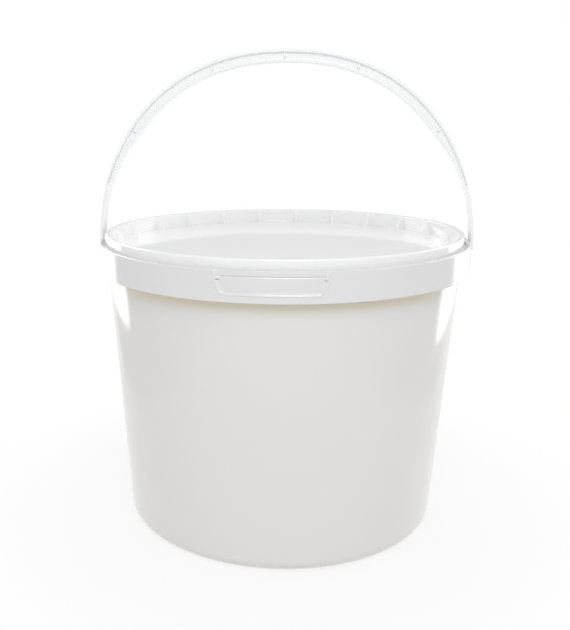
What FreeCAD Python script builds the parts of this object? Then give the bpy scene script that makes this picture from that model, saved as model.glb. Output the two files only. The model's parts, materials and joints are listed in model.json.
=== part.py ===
"""Food bucket: a drafted tub with a collar, a press-on lid and a swinging bail handle.

Frame: millimetres, +Z up, origin on the ground under the bucket's axis.  The pull tab faces -Y
and the handle hinges about a line along X.  Bodies of revolution are drawn as half sections
(radius, height); the handle is drawn in the XZ plane and given its width along Y.
"""
import FreeCAD, Part
import math
import os

V = FreeCAD.Vector
AXIS = V(0, 0, 1)
ORIGIN = V(0, 0, 0)

# ---- Tub ------------------------------------------------------------------------------------
TUB_HEIGHT = 184.15         # ground to the top edge of the collar
RIM_RADIUS = 112.0          # outside of the thin rim that the lid grips
RIM_WALL = 1.1
WALL_DRAFT = 3.1            # degrees that the side leans outwards
BASE_CORNER = 12.0          # fillet between side and base
FOOT_RING_WIDTH = 6.0       # flat ring that the bucket stands on
FOOT_RECESS = 2.5           # how far the middle of the base lies above the ground

# ---- Collar round the rim -------------------------------------------------------------------
COLLAR_HEIGHT = 17.35
COLLAR_WALL = 1.8
COLLAR_GAP = 3.2            # free width between the rim and the collar
GUTTER_DEPTH = 7.2          # collar edge down to the web that carries the collar
WEB_THICKNESS = 1.8
BRACE_COUNT = 24            # small webs under the collar
BRACE_THICKNESS = 1.2
EDGE_BEVEL = 0.5            # bevel of the collar's edges

# ---- Tear tab in the front of the collar ----------------------------------------------------
TAB_TOP_WIDTH = 63.2
TAB_FOOT_WIDTH = 53.5
TAB_HEIGHT = 12.5
TAB_RECESS = 1.0            # panel below the collar's face
TAB_CORNER = 2.5
BEAD_WIDTH = 1.3            # raised frame at both sides and along the foot
BEAD_RISE = 0.35
LIP_HEIGHT = 3.0            # strip above the score line
SCORE_WIDTH = 0.5
SCORE_DEPTH = 0.5
NICK_DROP = 4.9             # notches at both ends, below the collar's edge
NICK_HEIGHT = 1.0
NICK_LENGTH = 1.8
TAB_STEP = 1.0              # the sides stand this much closer above the notches

# ---- Lid ------------------------------------------------------------------------------------
LID_WALL = 0.9
LID_FIT = 0.1               # clearance between the lid's groove and the rim
LID_RISE = 5.45             # lid ring above the collar's edge
LID_WELL = 9.2              # ring top down to the panel
PANEL_THICKNESS = 1.2
LID_SKIRT = 6.2             # outer skirt below the collar's edge
RIM_LAND = 1.2              # ring top above the rim's edge
RING_BEVEL = 0.8            # bevel of the ring's top edges
LID_TURN = -2.5             # degrees that the lid is turned on the tub
GUSSET_COUNT = 24
GUSSET_FOOT_WIDTH = 5.0
GUSSET_FOOT_DEPTH = 5.0
GUSSET_FOOT_NOSE = 1.3      # radius of the rounded front edge at the foot
GUSSET_TOP_WIDTH = 1.6
GUSSET_TOP_DEPTH = 0.7
GUSSET_TOP_NOSE = 0.4
GUSSET_TOP_DROP = 1.5       # ring top down to the gusset's top

# ---- Handle hinge ---------------------------------------------------------------------------
PIVOT_DROP = 12.15          # collar edge down to the hinge line
SEAT_CLEARANCE = 0.5        # ear plate to lid skirt
EAR_PLATE = 1.5
EAR_MARGIN = 2.0            # ear plate beyond the pocket
HINGE_CLEARANCE = 0.3       # flat faces that pass each other
POCKET_CLEARANCE = 0.5
EYE_RADIUS = 10.5
EYE_THICKNESS = 2.1
PIN_RADIUS = 4.0
PIN_FIT = 0.06
PIN_HEAD_RADIUS = 5.2
PIN_HEAD = 0.8
HEAD_CLEARANCE = 0.35

# ---- Handle ---------------------------------------------------------------------------------
FOLD_GAP = 0.9              # grip to collar when the handle is folded down
BAIL_SQUARENESS = 2.21      # exponent of the outline, 2 is an ellipse
BAIL_WIDTH = 11.0
BAIL_GAP = 0.35             # strap to collar, where it passes the ears
STRAP_THICKNESS = 1.85
GRIP_THICKNESS = 7.8
GRIP_HALF_ANGLE = 44.0      # degrees from the top where the grip starts to thin
STRAP_ANGLE = 74.0          # degrees from the top where the strap has its final thickness
FLANGE_THICKNESS = 1.9
FLANGE_SHARE = 0.36         # largest part of the section that one flange takes
BAIL_WEB = 1.6
BAIL_RIB = 1.1
RIB_ANGLES = (0.0, 21.0, 50.0)
CHANNEL_END = 68.0          # degrees from the top where the side channels run out
STRAP_FOOT = 7.0            # hinge line to the end of the strap

# ---- Values that follow ---------------------------------------------------------------------
WEB_TOP_Z = TUB_HEIGHT - GUTTER_DEPTH
COLLAR_FOOT_Z = TUB_HEIGHT - COLLAR_HEIGHT
COLLAR_INNER = RIM_RADIUS + COLLAR_GAP
COLLAR_RADIUS = COLLAR_INNER + COLLAR_WALL
RING_TOP_Z = TUB_HEIGHT + LID_RISE
PANEL_TOP_Z = RING_TOP_Z - LID_WELL
PANEL_FOOT_Z = PANEL_TOP_Z - PANEL_THICKNESS
RIM_TOP_Z = RING_TOP_Z - RIM_LAND
RIM_INNER = RIM_RADIUS - RIM_WALL
LID_OUTER = RIM_RADIUS + LID_FIT + LID_WALL
WELL_RADIUS = RIM_INNER - LID_FIT - LID_WALL
PIVOT_Z = TUB_HEIGHT - PIVOT_DROP
POCKET_RADIUS = EYE_RADIUS + POCKET_CLEARANCE
EAR_INNER_X = LID_OUTER + SEAT_CLEARANCE
EAR_FACE_X = EAR_INNER_X + EAR_PLATE
EYE_INNER_X = EAR_FACE_X + HINGE_CLEARANCE
EYE_FACE_X = EYE_INNER_X + EYE_THICKNESS
BAIL_HALF_SPAN = max(COLLAR_RADIUS + BAIL_GAP, EYE_FACE_X) + STRAP_THICKNESS
BAIL_RISE = COLLAR_RADIUS + FOLD_GAP + GRIP_THICKNESS
SHARP = 1e-3


def wall_radius(z):
    """Outside radius of the drafted side at height z."""
    return RIM_RADIUS - (WEB_TOP_Z - z) * math.tan(math.radians(WALL_DRAFT))


def revolve(points):
    """Solid of revolution about Z from a closed half section of (radius, height) points."""
    corners = [V(r, 0, z) for r, z in points]
    face = Part.Face(Part.makePolygon(corners + corners[:1]))
    return face.revolve(ORIGIN, AXIS, 360)


def ring(inner, outer, z_low, z_high):
    """Plain ring between two radii and two heights."""
    return revolve([(inner, z_low), (outer, z_low), (outer, z_high), (inner, z_high)])


def polar_copies(shape, count, turn=0.0):
    """The shape repeated evenly about Z."""
    copies = []
    for index in range(count):
        copy = shape.copy()
        copy.rotate(ORIGIN, AXIS, turn + index * 360.0 / count)
        copies.append(copy)
    return copies


def x_cylinder(radius, x_low, x_high):
    """Disc or pin on the hinge line."""
    return Part.makeCylinder(radius, x_high - x_low, V(x_low, 0, PIVOT_Z), V(1, 0, 0))


def both_sides(shape):
    """The shape and its mirror image across the YZ plane."""
    return [shape, shape.mirror(ORIGIN, V(1, 0, 0))]


# ---- Tub ------------------------------------------------------------------------------------
def tub_core():
    """Closed side and base, up to the lid's panel, with the thin rim standing round it."""
    base_radius = wall_radius(0)
    foot_outer = base_radius - BASE_CORNER
    foot_inner = foot_outer - FOOT_RING_WIDTH
    side = revolve([
        (0, FOOT_RECESS),
        (foot_inner - FOOT_RECESS, FOOT_RECESS),
        (foot_inner, 0),
        (base_radius, 0),
        (RIM_RADIUS, WEB_TOP_Z),
        (RIM_RADIUS, RIM_TOP_Z),
        (RIM_INNER, RIM_TOP_Z),
        (RIM_INNER, PANEL_FOOT_Z),
        (0, PANEL_FOOT_Z),
    ])
    corner = [edge for edge in side.Edges if is_circle_at(edge, base_radius, 0)]
    return side.makeFillet(BASE_CORNER, corner)


def is_circle_at(edge, radius, z):
    """True for an edge that is a circle about Z with this radius at this height."""
    if not isinstance(edge.Curve, Part.Circle):
        return False
    return abs(edge.Curve.Radius - radius) < SHARP and abs(edge.Curve.Center.z - z) < SHARP


def collar():
    """Skirt round the rim, carried by a web, with small braces in the channel below."""
    edge_z = TUB_HEIGHT - EDGE_BEVEL
    foot_z = COLLAR_FOOT_Z + EDGE_BEVEL
    skirt = revolve([
        (RIM_RADIUS - RIM_WALL, WEB_TOP_Z - WEB_THICKNESS),
        (COLLAR_INNER, WEB_TOP_Z - WEB_THICKNESS),
        (COLLAR_INNER, COLLAR_FOOT_Z),
        (COLLAR_RADIUS - EDGE_BEVEL, COLLAR_FOOT_Z),
        (COLLAR_RADIUS, foot_z),
        (COLLAR_RADIUS, edge_z),
        (COLLAR_RADIUS - EDGE_BEVEL, TUB_HEIGHT),
        (COLLAR_INNER + EDGE_BEVEL, TUB_HEIGHT),
        (COLLAR_INNER, edge_z),
        (COLLAR_INNER, WEB_TOP_Z),
        (RIM_RADIUS - RIM_WALL, WEB_TOP_Z),
    ])
    brace_top = WEB_TOP_Z - WEB_THICKNESS / 2
    brace_foot = COLLAR_FOOT_Z + 2 * EDGE_BEVEL
    brace_inner = wall_radius(brace_foot) - RIM_WALL
    brace_outer = COLLAR_INNER + COLLAR_WALL / 2
    brace = Part.makeBox(
        brace_outer - brace_inner, BRACE_THICKNESS, brace_top - brace_foot,
        V(brace_inner, -BRACE_THICKNESS / 2, brace_foot))
    half_step = 180.0 / BRACE_COUNT
    return skirt.fuse(polar_copies(brace, BRACE_COUNT, half_step))


def tab_outline(grow, top_z, foot_z):
    """Upright prism over the tab, grown outwards by grow, with round foot corners.

    Below the notches it is a trapezoid; above them both sides step in a little.
    """
    slope = (TAB_TOP_WIDTH - TAB_FOOT_WIDTH) / (2 * TAB_HEIGHT)
    step_z = TUB_HEIGHT - NICK_DROP

    def half_width(z):
        return TAB_FOOT_WIDTH / 2 + (z - (TUB_HEIGHT - TAB_HEIGHT)) * slope + grow

    near_y = -(COLLAR_RADIUS + COLLAR_WALL)
    right_side = [
        (half_width(foot_z), foot_z),
        (half_width(step_z), step_z),
        (half_width(step_z) - TAB_STEP, step_z),
        (half_width(top_z) - TAB_STEP, top_z),
    ]
    left_side = [(-x, z) for x, z in reversed(right_side)]
    corners = [V(x, near_y, z) for x, z in right_side + left_side]
    prism = Part.Face(Part.makePolygon(corners + corners[:1])).extrude(V(0, COLLAR_RADIUS / 2, 0))
    corner = [edge for edge in prism.Edges if is_foot_corner(edge, foot_z)]
    return prism.makeFillet(TAB_CORNER + grow, corner)


def is_foot_corner(edge, foot_z):
    """True for an edge along Y at the foot of the tab's prism."""
    first, last = edge.Vertexes[0].Point, edge.Vertexes[-1].Point
    along_y = abs(first.x - last.x) < SHARP and abs(first.z - last.z) < SHARP
    return along_y and abs(first.z - foot_z) < SHARP


def add_tab(body):
    """Recessed panel with a raised frame, a score line and a notch at each end."""
    foot_z = TUB_HEIGHT - TAB_HEIGHT
    over_z = TUB_HEIGHT + EDGE_BEVEL
    panel_radius = COLLAR_RADIUS - TAB_RECESS
    panel = tab_outline(0.0, over_z, foot_z)
    frame = tab_outline(BEAD_WIDTH, over_z, foot_z - BEAD_WIDTH).cut(panel)
    bead_top = TUB_HEIGHT - EDGE_BEVEL
    bead_band = ring(panel_radius - COLLAR_WALL / 4, COLLAR_RADIUS + BEAD_RISE,
                     foot_z - 2 * BEAD_WIDTH, bead_top)
    recess_band = ring(panel_radius, COLLAR_RADIUS + COLLAR_WALL, foot_z - BEAD_WIDTH, over_z)
    body = body.fuse(frame.common(bead_band)).cut(panel.common(recess_band))

    score_z = TUB_HEIGHT - LIP_HEIGHT
    score_band = ring(panel_radius - SCORE_DEPTH, COLLAR_RADIUS, score_z - SCORE_WIDTH, score_z)
    body = body.cut(panel.common(score_band))

    nick_top = TUB_HEIGHT - NICK_DROP
    nick_band = ring(COLLAR_INNER - COLLAR_WALL, COLLAR_RADIUS + COLLAR_WALL,
                     nick_top - NICK_HEIGHT, nick_top)
    inner_part = tab_outline(-NICK_LENGTH, over_z, foot_z)
    outer_part = tab_outline(BEAD_WIDTH / 2, over_z, foot_z)
    return body.cut(outer_part.cut(inner_part).common(nick_band))


def ear_plate():
    """Plate behind the handle's eye: square in the collar, round where it hangs below."""
    reach = POCKET_RADIUS + EAR_MARGIN
    block = Part.makeBox(EAR_PLATE, 2 * reach, TUB_HEIGHT - COLLAR_FOOT_Z,
                         V(EAR_INNER_X, -reach, COLLAR_FOOT_Z))
    tongue = x_cylinder(EYE_RADIUS, EAR_INNER_X, EAR_FACE_X)
    upper = Part.makeBox(EAR_PLATE, 2 * reach, 2 * reach,
                         V(EAR_INNER_X, -reach, TUB_HEIGHT))
    return block.fuse(tongue).cut(upper)


def hinge_pin():
    """Pin and snap head that hold the handle's eye."""
    head_inner = EYE_FACE_X - PIN_HEAD
    shank = x_cylinder(PIN_RADIUS, EAR_FACE_X - EAR_PLATE / 2, head_inner + PIN_HEAD / 2)
    head = x_cylinder(PIN_HEAD_RADIUS, head_inner, EYE_FACE_X)
    return shank.fuse(head)


def tub():
    """Tub with collar, tear tab and the two ears."""
    body = tub_core().fuse(collar())
    body = add_tab(body)
    for plate in both_sides(ear_plate()):
        body = body.fuse(plate)
    pocket = x_cylinder(POCKET_RADIUS, EAR_FACE_X, COLLAR_RADIUS + COLLAR_WALL)
    for cut in both_sides(pocket):
        body = body.cut(cut)
    for pin in both_sides(hinge_pin()):
        body = body.fuse(pin)
    return body.removeSplitter()


# ---- Lid ------------------------------------------------------------------------------------
def gusset():
    """Fin in the corner of the lid's well, wide and deep at its foot, small at its top."""
    foot_z = PANEL_TOP_Z - PANEL_THICKNESS / 2
    foot = gusset_section(GUSSET_FOOT_WIDTH, GUSSET_FOOT_DEPTH, GUSSET_FOOT_NOSE, foot_z)
    top_z = RING_TOP_Z - GUSSET_TOP_DROP
    top = gusset_section(GUSSET_TOP_WIDTH, GUSSET_TOP_DEPTH, GUSSET_TOP_NOSE, top_z)
    return Part.makeLoft([foot, top], True, True)


def gusset_section(width, depth, nose, z):
    """Level section of the fin: sides that close in from the well's wall to a round nose."""
    back_y = WELL_RADIUS + LID_WALL / 3
    nose_y = WELL_RADIUS - depth
    left, right = V(-width / 2, back_y, z), V(width / 2, back_y, z)
    nose_left, nose_right = V(-nose, nose_y + nose, z), V(nose, nose_y + nose, z)
    arc = Part.Arc(nose_left, V(0, nose_y, z), nose_right).toShape()
    return Part.Wire([
        Part.makeLine(left, nose_left), arc, Part.makeLine(nose_right, right),
        Part.makeLine(right, left)])


def lid():
    """Panel sunk in a ring whose groove grips the rim, with gussets round the well."""
    skirt_z = TUB_HEIGHT - LID_SKIRT
    groove_outer = RIM_RADIUS + LID_FIT
    groove_inner = RIM_INNER - LID_FIT
    shell = revolve([
        (0, PANEL_FOOT_Z),
        (groove_inner, PANEL_FOOT_Z),
        (groove_inner, RIM_TOP_Z),
        (groove_outer, RIM_TOP_Z),
        (groove_outer, skirt_z),
        (LID_OUTER, skirt_z),
        (LID_OUTER, RING_TOP_Z - RING_BEVEL),
        (LID_OUTER - RING_BEVEL, RING_TOP_Z),
        (WELL_RADIUS + RING_BEVEL, RING_TOP_Z),
        (WELL_RADIUS, RING_TOP_Z - RING_BEVEL),
        (WELL_RADIUS, PANEL_TOP_Z),
        (0, PANEL_TOP_Z),
    ])
    return shell.fuse(polar_copies(gusset(), GUSSET_COUNT, LID_TURN)).removeSplitter()


# ---- Handle ---------------------------------------------------------------------------------
def outline_radius(angle):
    """Distance from the hinge line's middle to the handle's outside, angle from the top."""
    across = abs(math.sin(math.radians(angle))) / BAIL_HALF_SPAN
    upwards = abs(math.cos(math.radians(angle))) / BAIL_RISE
    return (across ** BAIL_SQUARENESS + upwards ** BAIL_SQUARENESS) ** (-1 / BAIL_SQUARENESS)


def bail_thickness(angle):
    """Full at the grip, thinning smoothly to the strap at each end."""
    share = (abs(angle) - GRIP_HALF_ANGLE) / (STRAP_ANGLE - GRIP_HALF_ANGLE)
    share = min(max(share, 0.0), 1.0)
    blend = share * share * (3 - 2 * share)
    return GRIP_THICKNESS + (STRAP_THICKNESS - GRIP_THICKNESS) * blend


def outline_point(angle, in_channel, inner):
    """Point of the handle's outer or inner outline, or of the channel one flange further in."""
    thickness = bail_thickness(angle)
    inset = min(FLANGE_THICKNESS, FLANGE_SHARE * thickness) if in_channel else 0.0
    radius = outline_radius(angle)
    if inner:
        radius = radius - thickness + inset
    else:
        radius = radius - inset
    turn = math.radians(angle)
    return V(radius * math.sin(turn), 0, PIVOT_Z + radius * math.cos(turn))


def outline_curve(start, end, in_channel, inner):
    """Smooth curve along the handle's outline between two angles."""
    steps = max(4, int(abs(end - start) / 4))
    points = []
    for index in range(steps + 1):
        points.append(outline_point(start + (end - start) * index / steps, in_channel, inner))
    curve = Part.BSplineCurve()
    curve.interpolate(points)
    return curve.toShape()


def strip(start, end, in_channel, y_low, y_high):
    """Solid between the outer and inner outline from one angle to another."""
    outer = outline_curve(start, end, in_channel, False)
    inner = outline_curve(start, end, in_channel, True)
    first = Part.makeLine(outer.Vertexes[0].Point, inner.Vertexes[0].Point)
    last = Part.makeLine(outer.Vertexes[-1].Point, inner.Vertexes[-1].Point)
    face = Part.Face(Part.Wire(Part.__sortEdges__([outer, last, inner, first])))
    face.translate(V(0, y_low, 0))
    return face.extrude(V(0, y_high - y_low, 0))


def channel_pockets():
    """Pockets in both side faces, parted by the cross ribs."""
    radius = BAIL_RISE - GRIP_THICKNESS / 2
    half_rib = math.degrees(BAIL_RIB / 2 / radius)
    stops = [-CHANNEL_END - half_rib]
    stops += [-angle for angle in reversed(RIB_ANGLES)]
    stops += [angle for angle in RIB_ANGLES if angle > 0]
    stops += [CHANNEL_END + half_rib]
    outside = BAIL_WIDTH / 2
    pockets = []
    for start, end in zip(stops, stops[1:]):
        span = (start + half_rib, end - half_rib)
        pockets.append(strip(*span, True, BAIL_WEB / 2, outside + BAIL_WEB))
        pockets.append(strip(*span, True, -outside - BAIL_WEB, -BAIL_WEB / 2))
    return pockets


def eye():
    """Round end of the handle with its bore, counterbore and the foot that joins the strap."""
    disc = x_cylinder(EYE_RADIUS, EYE_INNER_X, EYE_FACE_X)
    foot_top = math.sqrt(EYE_RADIUS ** 2 - (BAIL_WIDTH / 2) ** 2)
    foot = Part.makeBox(
        BAIL_HALF_SPAN - STRAP_THICKNESS / 2 - EYE_INNER_X, BAIL_WIDTH, foot_top - STRAP_FOOT,
        V(EYE_INNER_X, -BAIL_WIDTH / 2, PIVOT_Z + STRAP_FOOT))
    bore = x_cylinder(PIN_RADIUS + PIN_FIT, EYE_INNER_X - HINGE_CLEARANCE, EYE_FACE_X + HINGE_CLEARANCE)
    seat = x_cylinder(PIN_HEAD_RADIUS + HEAD_CLEARANCE, EYE_FACE_X - PIN_HEAD - HINGE_CLEARANCE,
                      EYE_FACE_X + HINGE_CLEARANCE)
    return disc.fuse(foot).cut(bore).cut(seat)


def handle():
    """Bail with an I section along the grip, flat straps and a round eye at each end."""
    foot_angle = math.degrees(math.acos(STRAP_FOOT / BAIL_HALF_SPAN))
    arch = strip(-foot_angle, foot_angle, False, -BAIL_WIDTH / 2, BAIL_WIDTH / 2)
    arch = arch.cut(channel_pockets())
    for end in both_sides(eye()):
        arch = arch.fuse(end)
    return arch.removeSplitter()


def main():
    os.makedirs("parts", exist_ok=True)
    nodes = {"tub": tub, "lid": lid, "handle": handle}
    for name, make in nodes.items():
        shape = make()
        shape.exportStep("parts/" + name + ".step")


main()
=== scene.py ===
"""Looks of the food bucket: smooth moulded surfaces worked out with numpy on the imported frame.

Lengths are millimetres until a mesh is made, and metres in the studio.  The frame is the part's
own: +Z up, the tear tab facing -Y, the handle's hinge line along X.
"""

import json
import math

import bpy
import bmesh
import numpy as np
from mathutils import Matrix, Vector


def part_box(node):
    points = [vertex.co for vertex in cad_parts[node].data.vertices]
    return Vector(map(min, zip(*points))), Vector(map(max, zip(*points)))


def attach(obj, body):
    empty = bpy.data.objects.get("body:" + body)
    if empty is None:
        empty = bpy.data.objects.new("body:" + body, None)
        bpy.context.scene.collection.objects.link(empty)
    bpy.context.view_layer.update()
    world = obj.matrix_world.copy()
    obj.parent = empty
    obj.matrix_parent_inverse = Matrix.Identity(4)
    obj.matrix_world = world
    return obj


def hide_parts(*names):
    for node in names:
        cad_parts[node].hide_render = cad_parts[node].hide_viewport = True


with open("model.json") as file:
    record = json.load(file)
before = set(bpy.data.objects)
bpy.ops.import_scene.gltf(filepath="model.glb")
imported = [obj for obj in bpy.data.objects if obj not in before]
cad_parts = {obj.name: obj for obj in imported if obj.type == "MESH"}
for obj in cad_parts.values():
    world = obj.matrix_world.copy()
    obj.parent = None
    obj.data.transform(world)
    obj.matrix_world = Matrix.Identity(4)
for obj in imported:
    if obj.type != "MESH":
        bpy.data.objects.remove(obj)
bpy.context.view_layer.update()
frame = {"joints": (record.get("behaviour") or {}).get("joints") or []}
MM = 0.001
MERGE_DISTANCE = 2e-6

# ---- Sizes, read from the frame where a node's box gives them --------------------------------
TUB_HIGH = np.array(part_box("tub")[1]) / MM
LID_LOW, LID_HIGH = (np.array(corner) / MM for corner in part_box("lid"))
BAIL_LOW, BAIL_HIGH = (np.array(corner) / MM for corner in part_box("handle"))
PIVOT_Z = frame["joints"][0]["pos_m"][2] / MM

# Tub: drafted side, base, and the collar with its gutter and web.
LID_OVERHANG = 1.0
RIM_RADIUS = LID_HIGH[0] - LID_OVERHANG
WALL_DRAFT = math.radians(3.1)
TUB_WALL = 1.1
BASE_CORNER = 12.0
FOOT_RING_WIDTH = 6.0
FOOT_RECESS = 2.5
COLLAR_TOP = 184.15
COLLAR_HEIGHT = 17.35
COLLAR_RADIUS = TUB_HIGH[1]
COLLAR_WALL = 1.8
COLLAR_FOOT = COLLAR_TOP - COLLAR_HEIGHT
COLLAR_INNER = COLLAR_RADIUS - COLLAR_WALL
GUTTER_DEPTH = 2.0
GUTTER_FLOOR = COLLAR_TOP - GUTTER_DEPTH
WEB_DROP = 7.2
WEB_THICKNESS = 1.8
WEB_TOP = COLLAR_TOP - WEB_DROP
WEB_FOOT = WEB_TOP - WEB_THICKNESS
WALL_TOP = WEB_FOOT + 1.0
BRACE_COUNT = 24
BRACE_THICKNESS = 1.2
BRACE_FOOT = COLLAR_FOOT + 1.0

# Tear tab: a recess framed by a bead, with a score line and a notch at each side.
TAB_TOP_WIDTH = 63.2
TAB_FOOT_WIDTH = 53.5
TAB_HEIGHT = 12.5
TAB_SLANT_COSINE = 0.94
TAB_RECESS = 0.9
TAB_CORNER = 2.5
TAB_STEP = 1.0
TAB_SIDE_RAMP = 2.1
TAB_RAMP = 0.9
TAB_REACH = 40.0
BEAD_RISE = 0.32
BEAD_PLACE = 0.62
BEAD_HALF_WIDTH = 0.46
SCORE_DROP = 3.45
SCORE_DEPTH = 0.5
SCORE_HALF_HEIGHT = 0.3
NOTCH_DROP = 5.3
NOTCH_DEPTH = 0.9
NOTCH_INSET = 1.1
NOTCH_HALF_WIDTH = 0.65
NOTCH_HALF_HEIGHT = 0.42

# Lid: ring over the rim, well with its gussets, and the sunk panel.
RING_TOP = LID_HIGH[2]
RING_OUTER = LID_HIGH[0]
RING_WALL = 0.88
SKIRT_FOOT = LID_LOW[2]
WELL_RADIUS = 109.9
WELL_DEPTH = 9.2
WELL_WALL = 0.85
WELL_EDGE = 0.9
PANEL_TOP = RING_TOP - WELL_DEPTH
LID_PANEL = 1.2
LID_UNDERSIDE = TUB_HIGH[2] + 0.02
WARP_TWOFOLD = 0.20
WARP_THREEFOLD = 0.16
GUSSET_COUNT = 24
GUSSET_TURN = math.radians(87.5)
GUSSET_FOOT_WIDTH = 3.4
GUSSET_FOOT_DEPTH = 5.0
GUSSET_TOP_DROP = 1.5
GUSSET_BAND = 14.0
GUSSET_FULL_BAND = 1.2

# Hinge: ear plate, pin and eye, outwards along X.
EYE_RADIUS = -BAIL_LOW[1]
POCKET_RADIUS = EYE_RADIUS + 0.5
EAR_HALF_WIDTH = POCKET_RADIUS + 2.0
EAR_INNER_X = RING_OUTER + 0.5
EAR_FACE_X = EAR_INNER_X + 1.5
EYE_INNER_X = EAR_FACE_X + 0.3
EYE_FACE_X = EYE_INNER_X + 2.1
PIN_RADIUS = 4.0
PIN_ROOT = 0.5
PIN_GAP = 0.06
PIN_HEAD = 0.8
PIN_HEAD_RADIUS = 5.2
PIN_HEAD_GAP = 0.35
PIN_DIMPLE = 0.5
PIN_DIMPLE_RADIUS = 2.6
PIN_DIMPLE_FOOT_RADIUS = 2.2

# Handle: an I section that thins to a flat strap at each end.
STRAP_THICKNESS = 1.85
STRAP_START = math.radians(74.0)
STRAP_FOOT = 7.0
STRAP_HEEL = 1.3
BAIL_HALF_SPAN = EYE_FACE_X + STRAP_THICKNESS
BAIL_RISE = BAIL_HIGH[2] - PIVOT_Z
BAIL_SQUARENESS = 2.21
BAIL_WIDTH = 11.0
BAIL_WEB = 8.6
BAIL_ROOT = 0.4
GRIP_THICKNESS = 7.8
GRIP_END = math.radians(44.0)
FLANGE = 1.9
FLANGE_SHARE = 0.36
FLANGE_EDGE = 0.55
FLANGE_LIP = 0.2
CHANNEL_END = math.radians(68.0)
CHANNEL_FADE = 0.008
RIB_ANGLES = (0.0, 21.0, 50.0)
RIB_THICKNESS = 1.1
RIB_INSET = 0.35


# ---- Meshes from grids of points -------------------------------------------------------------
def grid_faces(rows, columns, close_rows, close_columns):
    """Quads between neighbours of a rows x columns grid, wrapping round where it is closed."""
    index = np.arange(rows * columns).reshape(rows, columns)
    if close_rows:
        index = np.vstack([index, index[:1]])
    if close_columns:
        index = np.hstack([index, index[:, :1]])
    corners = [index[:-1, :-1], index[1:, :-1], index[1:, 1:], index[:-1, 1:]]
    return np.stack(corners, -1).reshape(-1, 4)


def capped(points):
    """The grid with a pole at each end of its columns, so that a closed section becomes a solid."""
    start = np.broadcast_to(points[:, :1].mean(axis=0), points[:, :1].shape)
    end = np.broadcast_to(points[:, -1:].mean(axis=0), points[:, -1:].shape)
    return np.concatenate([start, points, end], axis=1)


def make_piece(name, grids, material, body, node):
    """One object from several (points, close_rows, close_columns) grids, faces outwards.

    Coincident points at seams and poles are merged, each closed shell is turned outwards, and
    the object gets smooth shading.
    """
    vertices = []
    faces = []
    offset = 0
    for points, close_rows, close_columns in grids:
        rows, columns = points.shape[:2]
        vertices.append(points.reshape(-1, 3) * MM)
        faces.append(grid_faces(rows, columns, close_rows, close_columns) + offset)
        offset += rows * columns
    mesh = bpy.data.meshes.new(name)
    mesh.from_pydata(np.vstack(vertices).tolist(), [], np.vstack(faces).tolist())
    shape = bmesh.new()
    shape.from_mesh(mesh)
    bmesh.ops.remove_doubles(shape, verts=shape.verts, dist=MERGE_DISTANCE)
    bmesh.ops.dissolve_degenerate(shape, dist=1e-7, edges=shape.edges)
    bmesh.ops.recalc_face_normals(shape, faces=shape.faces)
    shape.to_mesh(mesh)
    shape.free()
    mesh.shade_smooth()
    mesh.materials.append(material)
    piece = bpy.data.objects.new(name, mesh)
    bpy.context.scene.collection.objects.link(piece)
    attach(piece, body)
    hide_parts(node)
    return piece


def rounded_line(corners, arc_steps=6):
    """Open line through (x, y, radius) corners, each rounded by an arc tangent to its two runs.

    The arc starts and ends a tangent length from the corner, which is the radius over the tangent
    of half the angle between the runs, and at most just under half a run.  Its spokes are the first
    and the last one, each times the sine of its share of the turn, over the sine of the turn.  A
    point just outside each end of an arc keeps the runs' shading flat.
    """
    corners = np.array(corners, float)
    line = [corners[0, :2]]
    for before, here, after in zip(corners, corners[1:], corners[2:]):
        corner, radius = here[:2], here[2]
        backward = before[:2] - corner
        forward = after[:2] - corner
        backward_run, forward_run = np.linalg.norm(backward), np.linalg.norm(forward)
        backward, forward = backward / backward_run, forward / forward_run
        half = math.acos(np.clip(backward @ forward, -1, 1)) / 2
        reach = min(radius / math.tan(half), 0.49 * backward_run, 0.49 * forward_run)
        radius = reach * math.tan(half)
        bisector = (backward + forward) / np.linalg.norm(backward + forward)
        centre = corner + bisector * radius / math.sin(half)
        start, end = corner + backward * reach, corner + forward * reach
        hold = 0.3 * reach
        side, ahead = start - centre, end - centre
        turn = math.pi - 2 * half
        share = np.linspace(0, 1, arc_steps + 1)[:, None]
        arc = centre + (np.sin((1 - share) * turn) * side + np.sin(share * turn) * ahead) / math.sin(turn)
        line.extend([start + backward * hold, *arc, end + forward * hold])
    line.append(corners[-1, :2])
    return np.array(line)


def subdivide(line, longest):
    """The line with its runs cut into equal parts no longer than longest."""
    parts = [line[:1]]
    for start, end in zip(line, line[1:]):
        count = max(1, math.ceil(np.linalg.norm(end - start) / longest))
        parts.append(start + (end - start) * np.arange(1, count + 1)[:, None] / count)
    return np.vstack(parts)


def full_turn(columns):
    """Equal angles round a whole circle, without its last one."""
    return np.linspace(0, 2 * np.pi, columns + 1)[:-1]


def revolve(profile, angles):
    """Grid of a (radius, height) profile turned about Z: x = r cos a, y = r sin a, z = height."""
    radius, height = profile[:, :1], profile[:, 1:]
    flat = np.zeros_like(angles)
    return np.stack([radius * np.cos(angles), radius * np.sin(angles), height + flat], -1)


def disc_about_hinge(profile, side, columns=96):
    """Grid of an (x, distance r from the hinge line) profile: y = r cos a, z = pivot + r sin a."""
    angles = full_turn(columns)
    along, away = profile[:, :1], profile[:, 1:]
    flat = np.zeros_like(angles)
    return np.stack([side * (along + flat), away * np.cos(angles), PIVOT_Z + away * np.sin(angles)], -1)


def ease(value):
    """Smooth step from 0 to 1: three times the square less twice the cube of the clipped value."""
    value = np.clip(value, 0, 1)
    return value * value * (3 - 2 * value)


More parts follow.
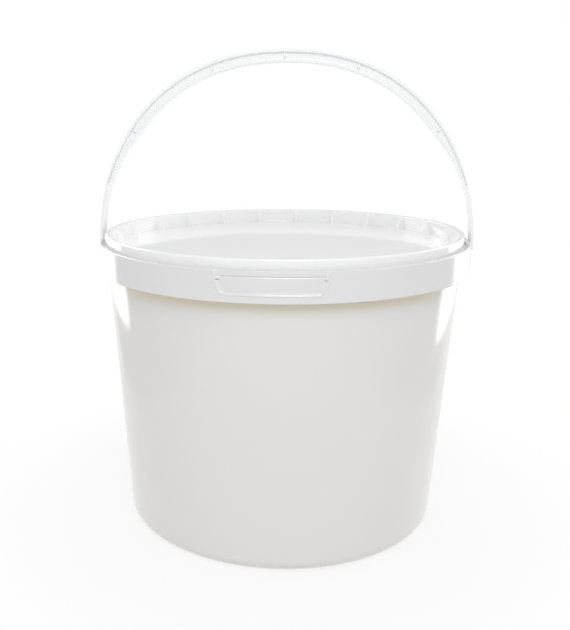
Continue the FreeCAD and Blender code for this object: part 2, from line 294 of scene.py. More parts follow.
# ---- Shader maths ----------------------------------------------------------------------------
class Value:
    """A socket that takes part in arithmetic; each operator adds a Math node."""

    def __init__(self, shader, socket):
        self.shader = shader
        self.socket = socket

    def __add__(self, other):
        return self.shader.math("ADD", self, other)

    def __radd__(self, other):
        return self.shader.math("ADD", other, self)

    def __sub__(self, other):
        return self.shader.math("SUBTRACT", self, other)

    def __rsub__(self, other):
        return self.shader.math("SUBTRACT", other, self)

    def __mul__(self, other):
        return self.shader.math("MULTIPLY", self, other)

    def __rmul__(self, other):
        return self.shader.math("MULTIPLY", other, self)

    def __pow__(self, other):
        return self.shader.math("POWER", self, other)

    def __rpow__(self, other):
        return self.shader.math("POWER", other, self)


class Shader:
    """A material, or the world, built node by node."""

    def __init__(self, owner):
        owner.use_nodes = True
        self.owner = owner
        self.tree = owner.node_tree
        self.tree.nodes.clear()

    def add(self, kind, settings=None, sockets=None, output=0):
        """New node: settings first, then its sockets' values or links; returns one output."""
        node = self.tree.nodes.new(kind)
        for key, value in (settings or {}).items():
            setattr(node, key, value)
        for key, value in (sockets or {}).items():
            if isinstance(value, Value):
                self.tree.links.new(value.socket, node.inputs[key])
            else:
                node.inputs[key].default_value = value
        return Value(self, node.outputs[output])

    def math(self, operation, first, second=0.0):
        """One Math node's result."""
        return self.add("ShaderNodeMath", {"operation": operation}, {0: first, 1: second})

    def place(self, output=3):
        """Texture Coordinate: 3 is Object, in metres on a piece; 0 is a direction in the world."""
        return self.add("ShaderNodeTexCoord", output=output)

    def axis(self, vector, number):
        """One of a vector's three numbers."""
        return self.add("ShaderNodeSeparateXYZ", {}, {0: vector}, number)

    def seen(self):
        """1 for what the camera sees straight."""
        return self.add("ShaderNodeLightPath", output=0)

    def mirrored(self):
        """1 for what is seen in a glossy surface."""
        return self.add("ShaderNodeLightPath", output=3)

    def noise(self, coordinates, scale, detail=2.0, roughness=0.5):
        """Fractal noise about 0.5 at that many cycles per metre."""
        return self.add("ShaderNodeTexNoise", {"noise_dimensions": "3D"},
                        {"Vector": coordinates, "Scale": scale, "Detail": detail, "Roughness": roughness})

    def blend(self, amount, first, second):
        """Colour between first and second."""
        return self.add("ShaderNodeMix", {"data_type": "RGBA"}, {0: amount, 6: first, 7: second}, 2)

    def stretch(self, coordinates, scale):
        """Coordinates scaled along each axis."""
        return self.add("ShaderNodeMapping", {}, {"Vector": coordinates, "Scale": scale})

    def eased(self, value, low, high):
        """0 below low, 1 above high, and a smooth step between."""
        return self.add("ShaderNodeMapRange", {"interpolation_type": "SMOOTHSTEP"},
                        {"Value": value, "From Min": low, "From Max": high})

    def surface(self, shader):
        """Links the finished shader to the output."""
        is_world = isinstance(self.owner, bpy.types.World)
        node = self.tree.nodes.new("ShaderNodeOutputWorld" if is_world else "ShaderNodeOutputMaterial")
        self.tree.links.new(shader.socket, node.inputs["Surface"])


# ---- Finishes --------------------------------------------------------------------------------
DRIFT_SCALE = 9.0
FLECK_SCALE = 1400.0
FLECK_SHARE = 0.2
STREAK_STRETCH = (260.0, 260.0, 18.0)
STREAK_GAIN = 1.7
WOBBLE_SCALE = 16.0
SKIN_SCALE = 500.0
SKIN_HEIGHT = 0.004
REFRACTION = 1.5


def moulded_plastic(name, pale, deep, roughness, wobble, painted_shade=None):
    """Glossy white polypropylene.

    Colour drifts between two near whites over a hand's breadth, with fine flecks.  Roughness rises
    in faint upright rubbed streaks, as the cube of a stretched noise.  The normal carries the slow
    wobble of a moulded wall, in millimetres of height, and a fine skin.  The last argument, if
    given, is a (low, high, colour) of painted shade: the colour eases to that one between the two
    heights, standing in for shade that falls on the wall there.
    """
    shader = Shader(bpy.data.materials.new(name))
    place = shader.place()
    drift = shader.noise(place, DRIFT_SCALE, 3.0)
    flecks = shader.noise(place, FLECK_SCALE, 1.0)
    streaks = shader.noise(shader.stretch(place, STREAK_STRETCH), 1.0, 4.0, 0.6)
    colour = shader.blend(drift * (1 - FLECK_SHARE) + flecks * FLECK_SHARE, pale, deep)
    # Painted shade: a band of colour between two heights stands in for shade falling on the surface.
    if painted_shade:
        low, high, shade_tone = painted_shade
        colour = shader.blend(shader.eased(shader.axis(place, 2), low * MM, high * MM), colour, shade_tone)
    rubbed = streaks ** 3.0 * (STREAK_GAIN * roughness)
    skin = shader.noise(place, SKIN_SCALE, 1.0) * SKIN_HEIGHT
    height = shader.noise(place, WOBBLE_SCALE, 1.0) * wobble + skin
    normal = shader.add("ShaderNodeBump", {}, {"Strength": 1.0, "Distance": MM, "Height": height})
    finish = shader.add("ShaderNodeBsdfPrincipled", {}, {
        "Base Color": colour, "Roughness": rubbed + roughness, "Normal": normal, "IOR": REFRACTION})
    shader.surface(finish)
    return shader.owner


def tub_wall_finish():
    """The tub's side: faintly yellowish white, with painted shade under the collar: the colour deepens to
    a creamy tone where the collar shades the wall.
    """
    # Painted shade: the wall's colour eases to a creamy tone from 10 mm below the collar's foot to 1 mm
    # below it, and stays so above.
    painted_shade_band = (COLLAR_FOOT - 10, COLLAR_FOOT - 1, (0.82, 0.75, 0.60, 1))
    return moulded_plastic("tub_wall_white", pale=(0.77, 0.763, 0.745, 1), deep=(0.74, 0.733, 0.715, 1),
                           roughness=0.12, wobble=0.22, painted_shade=painted_shade_band)


def tub_collar_finish():
    """The collar, the ears and the braces: neutral white."""
    return moulded_plastic("tub_white", pale=(0.765, 0.765, 0.765, 1), deep=(0.735, 0.735, 0.735, 1),
                           roughness=0.12, wobble=0.22)


def lid_finish():
    """The lid: brighter and glossier than the tub."""
    return moulded_plastic("lid_white", pale=(0.915, 0.915, 0.92, 1), deep=(0.895, 0.895, 0.90, 1),
                           roughness=0.05, wobble=0.10)


def handle_finish():
    """The handle: bright white with a softer gloss."""
    return moulded_plastic("handle_white", pale=(0.907, 0.912, 0.917, 1), deep=(0.892, 0.897, 0.902, 1),
                           roughness=0.16, wobble=0.05)


# ---- Tub -------------------------------------------------------------------------------------
def wall_radius(height):
    """Outside radius of the drafted side at a height."""
    return RIM_RADIUS - (WEB_TOP - height) * math.tan(WALL_DRAFT)


def tub_shell(material):
    """Base, rounded corner and drafted side, up into the web under the collar.

    One profile turned about Z: the foot ring, a corner arc, a straight line that leans out by the
    draft, then back down the inside at the wall's thickness.
    """
    base_radius = wall_radius(0)
    foot_outer = base_radius - BASE_CORNER
    foot_inner = foot_outer - FOOT_RING_WIDTH
    profile = rounded_line([
        (0, FOOT_RECESS, 0),
        (foot_inner - FOOT_RECESS, FOOT_RECESS, 1.0),
        (foot_inner, 0, 0.8),
        (base_radius, 0, BASE_CORNER),
        (wall_radius(WALL_TOP), WALL_TOP, 0),
        (wall_radius(WALL_TOP) - TUB_WALL, WALL_TOP, 0),
        (base_radius - TUB_WALL, FOOT_RECESS + TUB_WALL, BASE_CORNER - TUB_WALL),
        (0, FOOT_RECESS + TUB_WALL, 0),
    ], arc_steps=14)
    grid = revolve(subdivide(profile, longest=9.0), full_turn(360))
    return make_piece("tub_shell", [(grid, False, True)], material, "bucket", "tub")


def tab_field(across, height):
    """Depth in mm of the tear tab's relief at a place on the collar's face, beads negative.

    outline is the distance outside the tab's rounded outline, whose slanting sides step inwards
    above the notches.  The recess eases in along wide ramps at the sides and a short one at the
    foot; the bead is the bell curve of the distance to its own middle line; the score line and
    the notches are narrow dips.
    """
    foot = COLLAR_TOP - TAB_HEIGHT
    notch_height = COLLAR_TOP - NOTCH_DROP
    slant = (TAB_TOP_WIDTH - TAB_FOOT_WIDTH) / (2 * TAB_HEIGHT)
    half_width = TAB_FOOT_WIDTH / 2 + (height - foot) * slant
    half_width = half_width - TAB_STEP * ease((height - notch_height) / 0.5)
    side = (np.abs(across) - half_width) * TAB_SLANT_COSINE
    below = foot - height
    beyond = np.hypot(np.maximum(side + TAB_CORNER, 0), np.maximum(below + TAB_CORNER, 0)) - TAB_CORNER
    outline = beyond + np.minimum(np.maximum(side + TAB_CORNER, below + TAB_CORNER), 0)
    recess = ease(-side / TAB_SIDE_RAMP) * ease(-below / TAB_RAMP) * ease(-outline / TAB_RAMP)
    bead = np.exp(-np.abs((outline - BEAD_PLACE) / BEAD_HALF_WIDTH) ** 2.5)
    bead = bead * ease((COLLAR_TOP - 0.1 - height) / 0.8)
    inside = ease(-(side + 0.4) / 0.6)
    score = np.exp(-((height - (COLLAR_TOP - SCORE_DROP)) / SCORE_HALF_HEIGHT) ** 2) * inside
    notch = np.exp(-((side + NOTCH_INSET) / NOTCH_HALF_WIDTH) ** 4
                   - ((height - notch_height + 0.1) / NOTCH_HALF_HEIGHT) ** 4)
    return TAB_RECESS * recess - BEAD_RISE * bead + SCORE_DEPTH * score + NOTCH_DEPTH * notch


def collar_angles():
    """Angles round the collar: fine over the tab and the two ears, coarse between."""
    tab, ear = math.radians(18.5), math.radians(7.2)
    right, left, front, right_again = 0.0, math.pi, 1.5 * math.pi, 2 * math.pi
    runs = [
        np.linspace(right - ear, right + ear, 90, endpoint=False),
        np.linspace(right + ear, left - ear, 120, endpoint=False),
        np.linspace(left - ear, left + ear, 90, endpoint=False),
        np.linspace(left + ear, front - tab, 52, endpoint=False),
        np.linspace(front - tab, front + tab, 240, endpoint=False),
        np.linspace(front + tab, right_again - ear, 52, endpoint=False),
    ]
    return np.concatenate(runs)


def with_tab(x, y, z, radius):
    """Radii of the collar's points with the outer face moved inwards by the tab's field."""
    still, moving = 0.3, COLLAR_WALL - 0.7
    on_face = ease((radius - COLLAR_INNER - still) / moving) * (y < 0) * (np.abs(x) < TAB_REACH)
    return radius - on_face * tab_field(x, z)


def with_ears(x, y, z, radius, moved):
    """Radii with the pockets behind the eyes, and with the collar's inside thickened to the ears.

    Within the pocket's radius of the hinge line the outer face moves to the ear's flat face, and
    across the ear's width the inner wall moves to its flat back.  A flat face at x lies at a radius
    of x over the cosine of the angle from the hinge line.
    """
    cosine = np.abs(x) / radius
    by_hinge = cosine > 0.9
    flat = np.maximum(cosine, 0.9)
    from_pivot = np.hypot(y, z - PIVOT_Z)
    soft_edge = 0.3
    pocket = ease((POCKET_RADIUS + soft_edge / 2 - from_pivot) / soft_edge) * by_hinge
    floor = EAR_FACE_X / flat
    moved = np.where(moved > floor, moved + (floor - moved) * pocket, moved)
    inner_wall = (radius > RIM_RADIUS + 1.5) & (radius < COLLAR_INNER + 0.6)
    thick = ease((EAR_HALF_WIDTH - np.abs(y)) / 0.8) * by_hinge * inner_wall
    return moved + (EAR_INNER_X / flat - COLLAR_INNER) * thick


def tub_collar(material):
    """Collar with its gutter, the tear tab's relief and the pockets behind the handle's eyes.

    A closed profile is turned about Z, and its points then move along their radii.
    """
    rim_inner = RIM_RADIUS - TUB_WALL
    profile = rounded_line([
        (rim_inner, WEB_FOOT, 0),
        (COLLAR_INNER, WEB_FOOT, 0.5),
        (COLLAR_INNER, COLLAR_FOOT, 0.4),
        (COLLAR_RADIUS, COLLAR_FOOT, 0.6),
        (COLLAR_RADIUS, COLLAR_TOP, 0.7),
        (COLLAR_INNER, COLLAR_TOP, 0.5),
        (COLLAR_INNER, GUTTER_FLOOR, 0.5),
        (RIM_RADIUS, GUTTER_FLOOR, 0.4),
        (RIM_RADIUS, TUB_HIGH[2], 0.3),
        (rim_inner, TUB_HIGH[2], 0.3),
        (rim_inner, WEB_FOOT, 0),
    ])
    outer_face = profile[:, 0] > COLLAR_RADIUS - 0.01
    first, last = np.flatnonzero(outer_face)[[0, -1]]
    face = subdivide(profile[first:last + 1], longest=0.27)
    profile = np.vstack([profile[:first], face, profile[last + 1:]])
    grid = revolve(profile, collar_angles())
    x, y, z = grid[..., 0], grid[..., 1], grid[..., 2]
    radius = np.hypot(x, y)
    moved = with_ears(x, y, z, radius, with_tab(x, y, z, radius))
    grid = np.stack([x * moved / radius, y * moved / radius, z], -1)
    return make_piece("tub_collar", [(grid, False, True)], material, "bucket", "tub")


def ear_tongues(material):
    """Round tongues that hang below the collar behind the eyes, and the pins with their heads."""
    tongue = rounded_line([
        (EAR_INNER_X, 0, 0),
        (EAR_INNER_X, EYE_RADIUS, 0.4),
        (EAR_FACE_X, EYE_RADIUS, 0.4),
        (EAR_FACE_X, 0, 0),
    ])
    pin_root, head_inner, dimple = EAR_FACE_X - PIN_ROOT, EYE_FACE_X - PIN_HEAD, EYE_FACE_X - PIN_DIMPLE
    pin = rounded_line([
        (pin_root, 0, 0),
        (pin_root, PIN_RADIUS, 0.1),
        (head_inner, PIN_RADIUS, 0.1),
        (head_inner, PIN_HEAD_RADIUS, 0.15),
        (EYE_FACE_X, PIN_HEAD_RADIUS, 0.45),
        (EYE_FACE_X, PIN_DIMPLE_RADIUS, 0.3),
        (dimple, PIN_DIMPLE_FOOT_RADIUS, 0.2),
        (dimple, 0, 0),
    ])
    grids = []
    for side in (-1, 1):
        grids.append((disc_about_hinge(tongue, side), False, True))
        grids.append((disc_about_hinge(pin, side), False, True))
    return make_piece("ear_tongues", grids, material, "bucket", "tub")


def collar_braces(material):
    """Small upright webs in the channel under the collar: rounded slabs repeated round Z.

    Each slab runs a little way into the side, the collar and the web, and narrows at its foot.
    """
    inner, outer = wall_radius(BRACE_FOOT) - 0.5, COLLAR_INNER + 0.3
    half = BRACE_THICKNESS / 2
    section = rounded_line([
        (inner, half, 0),
        (inner, -half, 0.3),
        (outer, -half, 0.3),
        (outer, half, 0.3),
        (inner, half, 0),
    ], arc_steps=3)
    heights = np.array([BRACE_FOOT, BRACE_FOOT + 0.1, BRACE_FOOT + 0.3, WEB_FOOT + 0.5])
    shrink = np.array([0.85, 0.96, 1.0, 1.0])
    centre = (inner + outer) / 2
    along = centre + (section[:, :1] - centre) * shrink
    sideways = section[:, 1:] * shrink
    up = heights + 0 * along
    grids = []
    for turn in (np.arange(BRACE_COUNT) + 0.5) * 2 * np.pi / BRACE_COUNT:
        x = along * np.cos(turn) - sideways * np.sin(turn)
        y = along * np.sin(turn) + sideways * np.cos(turn)
        grids.append((capped(np.stack([x, y, up], -1)), True, False))
    return make_piece("collar_braces", grids, material, "bucket", "tub")


# ---- Lid -------------------------------------------------------------------------------------
def gusset_depth(angle, height):
    """How far the well's wall stands in at an angle and height, as 24 fins.

    Across a fin the depth follows a flat-topped bell, exp of minus the offset over the half width
    to the power 2.6.  From foot to top the half width shrinks evenly to a half, and the depth goes
    as one less the share of the rise to the power 1.6, that difference to the power 1.1.
    """
    step = 2 * np.pi / GUSSET_COUNT
    offset = (angle - GUSSET_TURN + step / 2) % step - step / 2
    across = offset * WELL_RADIUS
    rise = (height - PANEL_TOP) / (RING_TOP - GUSSET_TOP_DROP - PANEL_TOP)
    rise = np.clip(rise, 0, 1)
    half_width = GUSSET_FOOT_WIDTH / 2 * (1 - 0.5 * rise)
    depth = GUSSET_FOOT_DEPTH * (1 - rise ** 1.6) ** 1.1
    return depth * np.exp(-np.abs(across / half_width) ** 2.6)


def panel_warp(x, y):
    """Slow warp of the thin panel: a twofold and a threefold wave round the middle.

    They grow as the square of the share of the radius, and ease to nothing at the well's wall.
    """
    share = np.hypot(x, y) / WELL_RADIUS
    turn = np.arctan2(y, x)
    wave = WARP_TWOFOLD * np.cos(2 * turn - 0.7) + WARP_THREEFOLD * np.cos(3 * turn + 0.9)
    return wave * share ** 2 * ease((1 - share) * 5)


def lid_angles():
    """Angles round the lid, finer across each gusset than between two."""
    step = 2 * np.pi / GUSSET_COUNT
    edge, fin = 0.5, 0.14
    within = np.concatenate([
        np.linspace(-edge, -fin, 5, endpoint=False),
        np.linspace(-fin, fin, 26, endpoint=False),
        np.linspace(fin, edge, 5, endpoint=False),
    ]) * step
    return (GUSSET_TURN + np.arange(GUSSET_COUNT)[:, None] * step + within).ravel()


def lid_shell(material):
    """Ring, well wall with its gussets, warped panel and underside, as one profile turned about Z.

    The well's side moves inwards by the gussets' depth times two smooth steps, one over the ring's
    inner edge and one over the panel's outermost band, so that the grid doesn't fold at their feet.
    """
    underside = np.array([
        (0, PANEL_TOP - LID_PANEL),
        (WELL_RADIUS + WELL_WALL, PANEL_TOP - LID_PANEL),
        (WELL_RADIUS + WELL_WALL, LID_UNDERSIDE),
        (RING_OUTER - RING_WALL, LID_UNDERSIDE),
        (RING_OUTER - RING_WALL, SKIRT_FOOT),
    ])
    edge_steps = 7
    profile = rounded_line([
        (RING_OUTER - 0.5, SKIRT_FOOT, 0),
        (RING_OUTER, SKIRT_FOOT, 0.3),
        (RING_OUTER, RING_TOP, 1.1),
        (WELL_RADIUS, RING_TOP, WELL_EDGE),
        (WELL_RADIUS, PANEL_TOP, 0.8),
        (0, PANEL_TOP, 0),
    ], edge_steps)
    wall = np.abs(profile[:, 0] - WELL_RADIUS) < 0.01
    first, last = np.flatnonzero(wall)[[0, -1]]
    profile = np.vstack([
        underside,
        profile[:first],
        subdivide(profile[first:last + 1], longest=0.35),
        subdivide(profile[last + 1:], longest=4.0),
    ])
    edge_start = len(underside) + first - (edge_steps - 1)
    angles = lid_angles()
    grid = revolve(profile, angles)
    x, y, z = grid[..., 0], grid[..., 1], grid[..., 2]
    radius = np.hypot(x, y)
    well_side = (np.arange(len(profile)) >= edge_start)[:, None]
    band = ease((radius - WELL_RADIUS + GUSSET_BAND) / (GUSSET_BAND - GUSSET_FULL_BAND))
    edge = ease((WELL_RADIUS + WELL_EDGE - radius) / WELL_EDGE)
    inwards = gusset_depth(angles, z) * well_side * band * edge
    scale = (radius - inwards) / np.maximum(radius, 1e-6)
    x, y = x * scale, y * scale
    z = z + panel_warp(x, y) * (z < PANEL_TOP + 0.05) * (radius < WELL_RADIUS)
    grid = np.stack([x, y, z], -1)
    return make_piece("lid_shell", [(grid, False, True)], material, "bucket", "lid")


# ---- Handle ----------------------------------------------------------------------------------
def outline_radius(angle):
    """Superellipse about the hinge line: the powers of both shares of the radius add up to 1."""
    across = np.abs(np.sin(angle)) / BAIL_HALF_SPAN
    upwards = np.abs(np.cos(angle)) / BAIL_RISE
    return (across ** BAIL_SQUARENESS + upwards ** BAIL_SQUARENESS) ** (-1 / BAIL_SQUARENESS)


def bail_thickness(angle):
    """Full at the grip, easing down to the strap's thickness at each end."""
    share = (np.abs(angle) - GRIP_END) / (STRAP_START - GRIP_END)
    return GRIP_THICKNESS + (STRAP_THICKNESS - GRIP_THICKNESS) * ease(share)


def flange_thickness(outer, inner):
    """The flanges keep their size while the grip thins, down to a share of what is left."""
    return np.minimum(FLANGE, FLANGE_SHARE * (outer - inner))


def quarter_round(place, incoming, outgoing, radius, steps=4):
    """Quarter round at a right-angled corner, with a holding point beyond each of its ends.

    place is (2, n), one corner for each of n sections; the arc turns from the incoming direction
    to the outgoing one about a centre one radius inside both runs.
    """
    incoming, outgoing = np.array(incoming, float)[:, None], np.array(outgoing, float)[:, None]
    centre = place + (outgoing - incoming) * radius
    turn = np.linspace(0, np.pi / 2, steps + 1)[:, None, None]
    arc = centre + radius * (np.sin(turn) * incoming - np.cos(turn) * outgoing)
    before = place - incoming * radius * 1.6
    after = place + outgoing * radius * 1.6
    return np.concatenate([before[None], arc, after[None]])


def bail_angles(end):
    """Angles along the bail, 0 at its top, finest where the channels fade out."""
    fade_start, fade_end = CHANNEL_END - 0.012, CHANNEL_END + 0.006
    half = np.concatenate([
        np.linspace(0, GRIP_END, 64, endpoint=False),
        np.linspace(GRIP_END, fade_start, 36, endpoint=False),
        np.linspace(fade_start, fade_end, 10, endpoint=False),
        np.linspace(fade_end, end, 48),
    ])
    return np.concatenate([-half[:0:-1], half])


def handle_arch(material):
    """The bail: an I section carried along the superellipse, its channels fading out at the ends.

    Each section is a closed outline in (distance from the hinge line, place along Y): six rounded
    corners on one side of the middle plane, mirrored, their radii limited by the flange and the
    channel.  The strap's last stretch thickens inwards into a heel on the eye.
    """
    end = math.acos(STRAP_FOOT / BAIL_HALF_SPAN)
    angles = bail_angles(end)
    outer = outline_radius(angles)
    heel = STRAP_HEEL * ease((np.abs(angles) - end + 0.016) / 0.01)
    inner = outer - bail_thickness(angles) - heel
    side = BAIL_WIDTH / 2 + 0 * angles
    channel = ease((CHANNEL_END - np.abs(angles)) / CHANNEL_FADE)
    web = side - (side - BAIL_WEB / 2) * channel
    flange = flange_thickness(outer, inner)
    upper, lower = outer - flange, inner + flange
    edge = np.minimum(FLANGE_EDGE, 0.36 * flange)
    lip = np.minimum(FLANGE_LIP, 0.2 * flange) * channel
    root = np.minimum(BAIL_ROOT, 0.3 * (upper - lower)) * channel
    inward, forth, back = (-1, 0), (0, 1), (0, -1)
    section = np.concatenate([
        quarter_round(np.stack([outer, side]), forth, inward, edge),
        quarter_round(np.stack([upper, side]), inward, back, lip),
        quarter_round(np.stack([upper, web]), back, inward, root),
        quarter_round(np.stack([lower, web]), inward, forth, root),
        quarter_round(np.stack([lower, side]), forth, inward, lip),
        quarter_round(np.stack([inner, side]), inward, back, edge),
    ])
    mirrored = section[::-1] * np.array([1, -1])[:, None]
    section = np.concatenate([section, mirrored])
    away, along = section[:, 0], section[:, 1]
    grid = capped(np.stack([away * np.sin(angles), along, PIVOT_Z + away * np.cos(angles)], -1))
    return make_piece("handle_arch", [(grid, True, False)], material, "bail", "handle")


def handle_ribs(material):
    """Cross ribs of the channels: a rounded tongue from the web to just under the flange edges."""
    web, tip, half = BAIL_WEB / 2 - 0.3, BAIL_WIDTH / 2 - RIB_INSET, RIB_THICKNESS / 2
    section = rounded_line([
        (0, web, 0),
        (-half, web, 0),
        (-half, tip, 0.3),
        (half, tip, 0.3),
        (half, web, 0),
        (0, web, 0),
    ], arc_steps=4)
    into_flange = 0.4
    grids = []
    for degrees in sorted({turn * sign for turn in RIB_ANGLES for sign in (-1, 1)}):
        angle = math.radians(degrees)
        outer = outline_radius(angle)
        inner = outer - bail_thickness(angle)
        flange = flange_thickness(outer, inner)
        away = np.array([inner + flange - into_flange, outer - flange + into_flange])
        for side in (-1, 1):
            across, along = section[:, :1], side * section[:, 1:]
            x = away * math.sin(angle) + across * math.cos(angle)
            z = PIVOT_Z + away * math.cos(angle) - across * math.sin(angle)
            grids.append((capped(np.stack([x, along + 0 * x, z], -1)), True, False))
    return make_piece("handle_ribs", grids, material, "bail", "handle")


def handle_eyes(material):
    """Round eyes: a rounded plate with a bore and a counterbore, turned about the hinge line."""
    bore, seat = PIN_RADIUS + PIN_GAP, PIN_HEAD_RADIUS + PIN_HEAD_GAP
    seat_x = EYE_FACE_X - PIN_HEAD - 0.3
    profile = rounded_line([
        (EYE_INNER_X, bore + 1, 0),
        (EYE_INNER_X, EYE_RADIUS, 0.3),
        (EYE_FACE_X, EYE_RADIUS, 0.5),
        (EYE_FACE_X, seat, 0.3),
        (seat_x, seat, 0.15),
        (seat_x, bore, 0.15),
        (EYE_INNER_X, bore, 0.15),
        (EYE_INNER_X, bore + 1, 0),
    ])
    grids = [(disc_about_hinge(profile, side), False, True) for side in (-1, 1)]
    return make_piece("handle_eyes", grids, material, "bail", "handle")


# ---- Studio, in metres -----------------------------------------------------------------------
CAMERA_AZIMUTH = math.radians(2.9)
CAMERA_DISTANCE = 0.5305
CAMERA_HEIGHT = 0.2626
CAMERA_TILT = math.radians(17.37)
CAMERA_ROLL = math.radians(-0.32)
CAMERA_HEADING = math.radians(-6.63)
CAMERA_LENS = 46.9
CAMERA_SENSOR = 36.0
CAMERA_SHIFT = (0.0877, 0.0825)

FLOOR_HALF_SIZE = 6.0
FLOOR_GREY = 0.86
FLOOR_LIT_SHARE = 0.2
FLOOR_SHADE_REACH = (0.11, 0.26)
FLOOR_STRIP_EDGE = (0.28, 0.31)
FLOOR_STRIP_START = 0.16
FLOOR_STRIP_SPREAD = 0.6

TENT_LOW = 0.68
TENT_HIGH = 0.53
TENT_RISE = (0.25, 0.85)
TENT_BESIDE = 0.22
TENT_BESIDE_RANGE = (0.35, 0.9)
TENT_BEHIND = 0.05
TENT_BEHIND_RANGE = (0.1, 0.7)

# Each side card: name, side of the bucket, height of its foot, near edge, length, radiance.
# The lamp that lights from a card's place has SIDE_FILL over its length as radiance.
SIDE_CARD_OFFSET = 0.40
SIDE_CARD_HEIGHT = 0.62
SIDE_CARDS = (("card_left", -1, 0.03, 0.10, 0.62, 3.2), ("card_right", 1, 0.01, 0.16, 0.38, 2.8))
SIDE_FILL = 0.93

# Each softbox: name, place, radiance, whether it is mirrored.
SOFTBOX_SIZE = (0.7, 0.7)
SOFTBOX_TARGET = (0, 0, 0.15)
SOFTBOXES = (("softbox", (0.1, -1.0, 1.2), 5.2, True), ("softbox_behind", (-0.1, 1.0, 1.2), 1.6, False))


def place_camera():
    """Camera a little right of the tab and above the lid, tilted down, with a slight roll."""
    forward = Vector((math.sin(CAMERA_HEADING) * math.cos(CAMERA_TILT),
                      math.cos(CAMERA_HEADING) * math.cos(CAMERA_TILT), -math.sin(CAMERA_TILT)))
    level = Vector((math.cos(CAMERA_HEADING), -math.sin(CAMERA_HEADING), 0))
    turn = Matrix.Rotation(-CAMERA_ROLL, 3, forward)
    right = turn @ level
    upward = right.cross(forward)
    lens = bpy.data.cameras.new("camera")
    lens.lens = CAMERA_LENS
    lens.sensor_width = CAMERA_SENSOR
    lens.shift_x, lens.shift_y = CAMERA_SHIFT
    lens.clip_start = 0.01
    camera = bpy.data.objects.new("camera", lens)
    bpy.context.scene.collection.objects.link(camera)
    basis = Matrix((right, upward, -forward)).transposed().to_4x4()
    spot = Vector((CAMERA_DISTANCE * math.sin(CAMERA_AZIMUTH),
                   -CAMERA_DISTANCE * math.cos(CAMERA_AZIMUTH), CAMERA_HEIGHT))
    camera.matrix_world = Matrix.Translation(spot) @ basis
    bpy.context.scene.camera = camera


def floor_white():
    """White ground: near the bucket a fifth of it is lit and takes its soft shadow, and that share
    eases to nothing outwards, where the ground is plain white.  Mirrored in the plastic, the ground
    is plain white along a strip that widens behind the bucket.
    """
    shader = Shader(bpy.data.materials.new("floor_white"))
    place = shader.place()
    away = shader.add("ShaderNodeVectorMath", {"operation": "LENGTH"}, {0: place}, 1)
    matt = shader.add("ShaderNodeBsdfDiffuse", {}, {"Color": (FLOOR_GREY, FLOOR_GREY, FLOOR_GREY, 1)})
    plain = shader.add("ShaderNodeEmission", {}, {"Color": (1, 1, 1, 1), "Strength": 1.0})
    spread = shader.math("MAXIMUM", shader.axis(place, 1) - FLOOR_STRIP_START) * FLOOR_STRIP_SPREAD
    beyond = shader.math("ABSOLUTE", shader.axis(place, 0)) - spread
    outwards = shader.eased(away, *FLOOR_SHADE_REACH)
    share = shader.seen() * (outwards * FLOOR_LIT_SHARE + (1 - FLOOR_LIT_SHARE))
    share = share + shader.mirrored() * (1 - shader.eased(beyond, *FLOOR_STRIP_EDGE))
    shader.surface(shader.add("ShaderNodeMixShader", {}, {0: share, 1: matt, 2: plain}))
    shader.owner.cycles.emission_sampling = "NONE"
    return shader.owner


def add_floor():
    """A wide flat square under the bucket."""
    outline = np.array([[-1, -1, 0], [1, -1, 0], [1, 1, 0], [-1, 1, 0]]) * FLOOR_HALF_SIZE
    mesh = bpy.data.meshes.new("floor")
    mesh.from_pydata(outline.tolist(), [], [[0, 1, 2, 3]])
    mesh.materials.append(floor_white())
    floor = bpy.data.objects.new("floor", mesh)
    bpy.context.scene.collection.objects.link(floor)


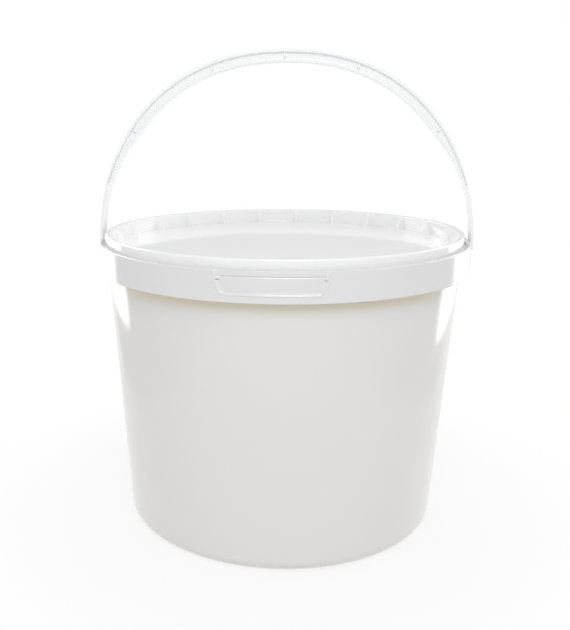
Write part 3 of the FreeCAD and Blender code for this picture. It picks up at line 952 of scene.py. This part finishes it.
def add_world():
    """Grey tent, brightest low down on both sides, a little greyer behind and greyest overhead;
    plain white where the camera sees it.
    """
    world = bpy.data.worlds.new("tent")
    bpy.context.scene.world = world
    shader = Shader(world)
    direction = shader.place(0)
    beside = shader.eased(shader.math("ABSOLUTE", shader.axis(direction, 0)), *TENT_BESIDE_RANGE)
    behind = shader.eased(shader.axis(direction, 1), *TENT_BEHIND_RANGE)
    high = shader.eased(shader.axis(direction, 2), *TENT_RISE)
    grey = TENT_LOW - high * (TENT_LOW - TENT_HIGH)
    grey = grey + (1 - high) * (beside * TENT_BESIDE - behind * TENT_BEHIND)
    seen = shader.seen()
    strength = seen + (1 - seen) * grey
    shader.surface(shader.add("ShaderNodeBackground", {}, {"Color": (1, 1, 1, 1), "Strength": strength}))


def add_card(name, centre, target, size, radiance, lights=True, shines=True):
    """Soft rectangular lamp of a given radiance, facing a target, unseen by the camera.

    lights says whether it lights the surfaces, shines whether it is mirrored in them.
    """
    lamp = bpy.data.lights.new(name, "AREA")
    lamp.shape = "RECTANGLE"
    lamp.size, lamp.size_y = size
    lamp.energy = radiance * math.pi * size[0] * size[1]
    card = bpy.data.objects.new(name, lamp)
    card.location = centre
    card.rotation_euler = (Vector(target) - Vector(centre)).to_track_quat("-Z", "Y").to_euler()
    card.visible_camera = False
    card.visible_diffuse = lights
    card.visible_glossy = shines
    bpy.context.scene.collection.objects.link(card)


def add_lights():
    """Side cards that are only mirrored, each with a weaker one in its place that only lights, and
    a soft lamp above in front and one behind.
    """
    for name, side, foot, near_edge, length, radiance in SIDE_CARDS:
        middle, raised = near_edge + length / 2, foot + SIDE_CARD_HEIGHT / 2
        spot, facing = (side * SIDE_CARD_OFFSET, middle, raised), (0, middle, raised)
        size = (length, SIDE_CARD_HEIGHT)
        add_card(name, spot, facing, size, radiance, lights=False)
        add_card(name + "_fill", spot, facing, size, SIDE_FILL / length, shines=False)
    for name, spot, radiance, shines in SOFTBOXES:
        add_card(name, spot, SOFTBOX_TARGET, SOFTBOX_SIZE, radiance, shines=shines)


def set_render():
    """Plain colours, and enough bounces for white plastic that lights its own channels."""
    scene = bpy.context.scene
    scene.view_settings.view_transform = "Standard"
    scene.cycles.diffuse_bounces = 12
    scene.cycles.max_bounces = 16


def main():
    """The bucket's pieces, then the studio."""
    tub_shell(tub_wall_finish())
    collar_white = tub_collar_finish()
    tub_collar(collar_white)
    ear_tongues(collar_white)
    collar_braces(collar_white)
    lid_shell(lid_finish())
    handle_white = handle_finish()
    handle_arch(handle_white)
    handle_ribs(handle_white)
    handle_eyes(handle_white)
    place_camera()
    add_floor()
    add_world()
    add_lights()
    set_render()


main()
